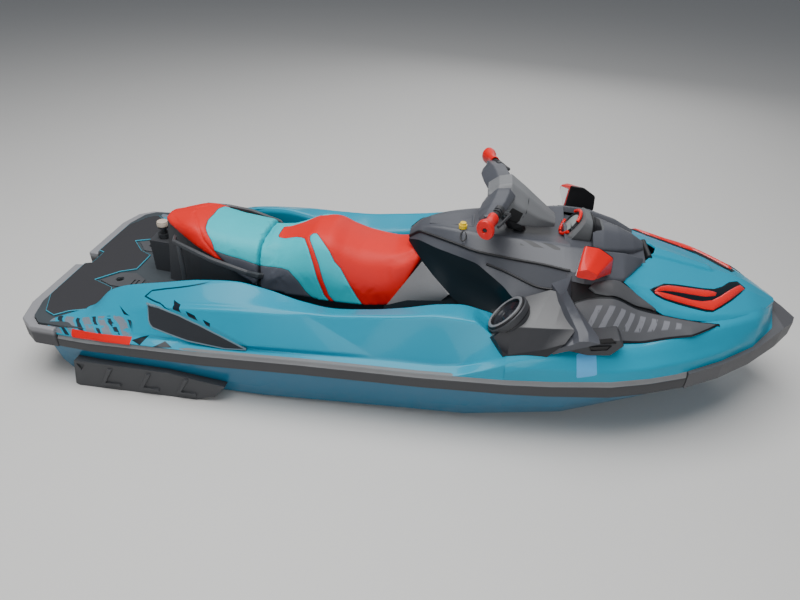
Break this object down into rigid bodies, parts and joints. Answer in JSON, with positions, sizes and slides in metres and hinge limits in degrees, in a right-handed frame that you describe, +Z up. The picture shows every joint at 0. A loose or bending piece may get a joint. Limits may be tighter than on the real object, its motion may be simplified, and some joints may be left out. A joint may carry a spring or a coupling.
{
  "type": "personal watercraft",
  "caption": "Three-seat tow-sports personal watercraft with jet pump, steered nozzle, reverse gate, opening lids and a retractable tow pylon.",
  "frame": {"origin": "centreline, amidships, on the waterline at rest", "axes": "+X to the bow, +Y to port, +Z up"},
  "size_m": [3.4584, 1.228, 1.14],
  "materials": {
    "teal_gelcoat": "high-gloss pigmented moulding",
    "hull_gelcoat": "gloss moulded hull",
    "charcoal": "satin textured moulding",
    "cowl_grey": "satin grey moulding",
    "gloss_black": "piano-black moulding",
    "rail_rubber": "dull extruded bumper",
    "red_plastic": "gloss red moulding",
    "seat_vinyl": "marine vinyl, teal and red panels",
    "mat_foam": "ribbed traction foam",
    "grip_rubber": "moulded rubber",
    "bar_metal": "black powder coat",
    "pump_metal": "cast and machined",
    "impeller_steel": "polished stainless",
    "engine_block": "plain block",
    "mirror_glass": "silvered",
    "display": "dark display and bezel",
    "key_yellow": "moulded cap"
  },
  "bodies": {
    "craft": {"hull": "hull_gelcoat", "engine": "engine_block", "deck_floor": "charcoal", "seat_base": "charcoal", "platform": "charcoal", "bow_deck": "teal_gelcoat", "gunwale_right": "teal_gelcoat", "gunwale_left": "teal_gelcoat", "console": "cowl_grey", "cowl_sides": "gloss_black", "cowl_wings": "cowl_grey", "hood_front": "teal_gelcoat", "side_panels": "charcoal", "storage_bin": "charcoal", "seat_front": "seat_vinyl", "seat_rear": "seat_vinyl", "speaker_pods": "charcoal", "cowl_arms": "cowl_grey", "side_vents": "charcoal", "sponson_right": "charcoal", "sponson_left": "charcoal", "rail_right": "rail_rubber", "rail_left": "rail_rubber", "stern_bumper": "rail_rubber", "pump_housing": "pump_metal", "mirrors": "red_plastic", "pylon_housing": "charcoal", "grab_rails": "bar_metal", "bow_bumper": "rail_rubber", "platform_mat": "mat_foam", "footwell_mats": "mat_foam", "cargo_plates": "charcoal", "intake_grate": "pump_metal", "ride_plate": "charcoal", "lamp_bezels": "gloss_black", "lamp_accents": "red_plastic", "speakers": "display", "mirror_glass": "mirror_glass", "side_inserts": "charcoal", "tow_eyes": "impeller_steel", "drain_plugs": "grip_rubber", "tether_key": "key_yellow"},
    "steering": {"handlebar": "bar_metal", "grips": "grip_rubber", "grip_ends": "red_plastic", "levers": "bar_metal", "bar_cover": "cowl_grey"},
    "jet_nozzle": {"nozzle": "pump_metal"},
    "gate": {"reverse_gate": "pump_metal"},
    "rotor": {"impeller": "impeller_steel"},
    "glove_lid": {"glovebox_lid": "cowl_grey"},
    "front_lid": {"storage_lid": "cowl_grey", "gauge": "display"},
    "pylon": {"tow_pylon": "bar_metal"}
  },
  "joints": [
    {"name": "steer", "type": "hinge", "parent": "craft", "child": "steering", "pos_m": [0.4, 0, 0.795], "axis": [-0.4695, 0, 0.8829], "range_deg": [-22, 22]},
    {"name": "nozzle_turn", "type": "hinge", "parent": "craft", "child": "jet_nozzle", "pos_m": [-1.638, 0, -0.055], "axis": [0, 0, 1], "range_deg": [-20, 20]},
    {"name": "gate_drop", "type": "hinge", "parent": "craft", "child": "gate", "pos_m": [-1.6, 0, -0.055], "axis": [0, -1, 0], "range_deg": [0, 58]},
    {"name": "impeller_spin", "type": "hinge", "parent": "craft", "child": "rotor", "pos_m": [-1.337, 0, -0.055], "axis": [1, 0, 0], "continuous": true},
    {"name": "glove_lid_open", "type": "hinge", "parent": "craft", "child": "glove_lid", "pos_m": [0.25, 0, 0.697], "axis": [0, 1, 0], "range_deg": [0, 70]},
    {"name": "front_lid_open", "type": "hinge", "parent": "craft", "child": "front_lid", "pos_m": [1.008, 0, 0.64], "axis": [0, 1, 0], "range_deg": [0, 60]},
    {"name": "pylon_lift", "type": "slide", "parent": "craft", "child": "pylon", "axis": [0, 0, 1], "range_m": [0, 0.26]}
  ],
  "couplings": [
    {"joint": "nozzle_turn", "follows": "steer", "ratio": -0.85}
  ]
}
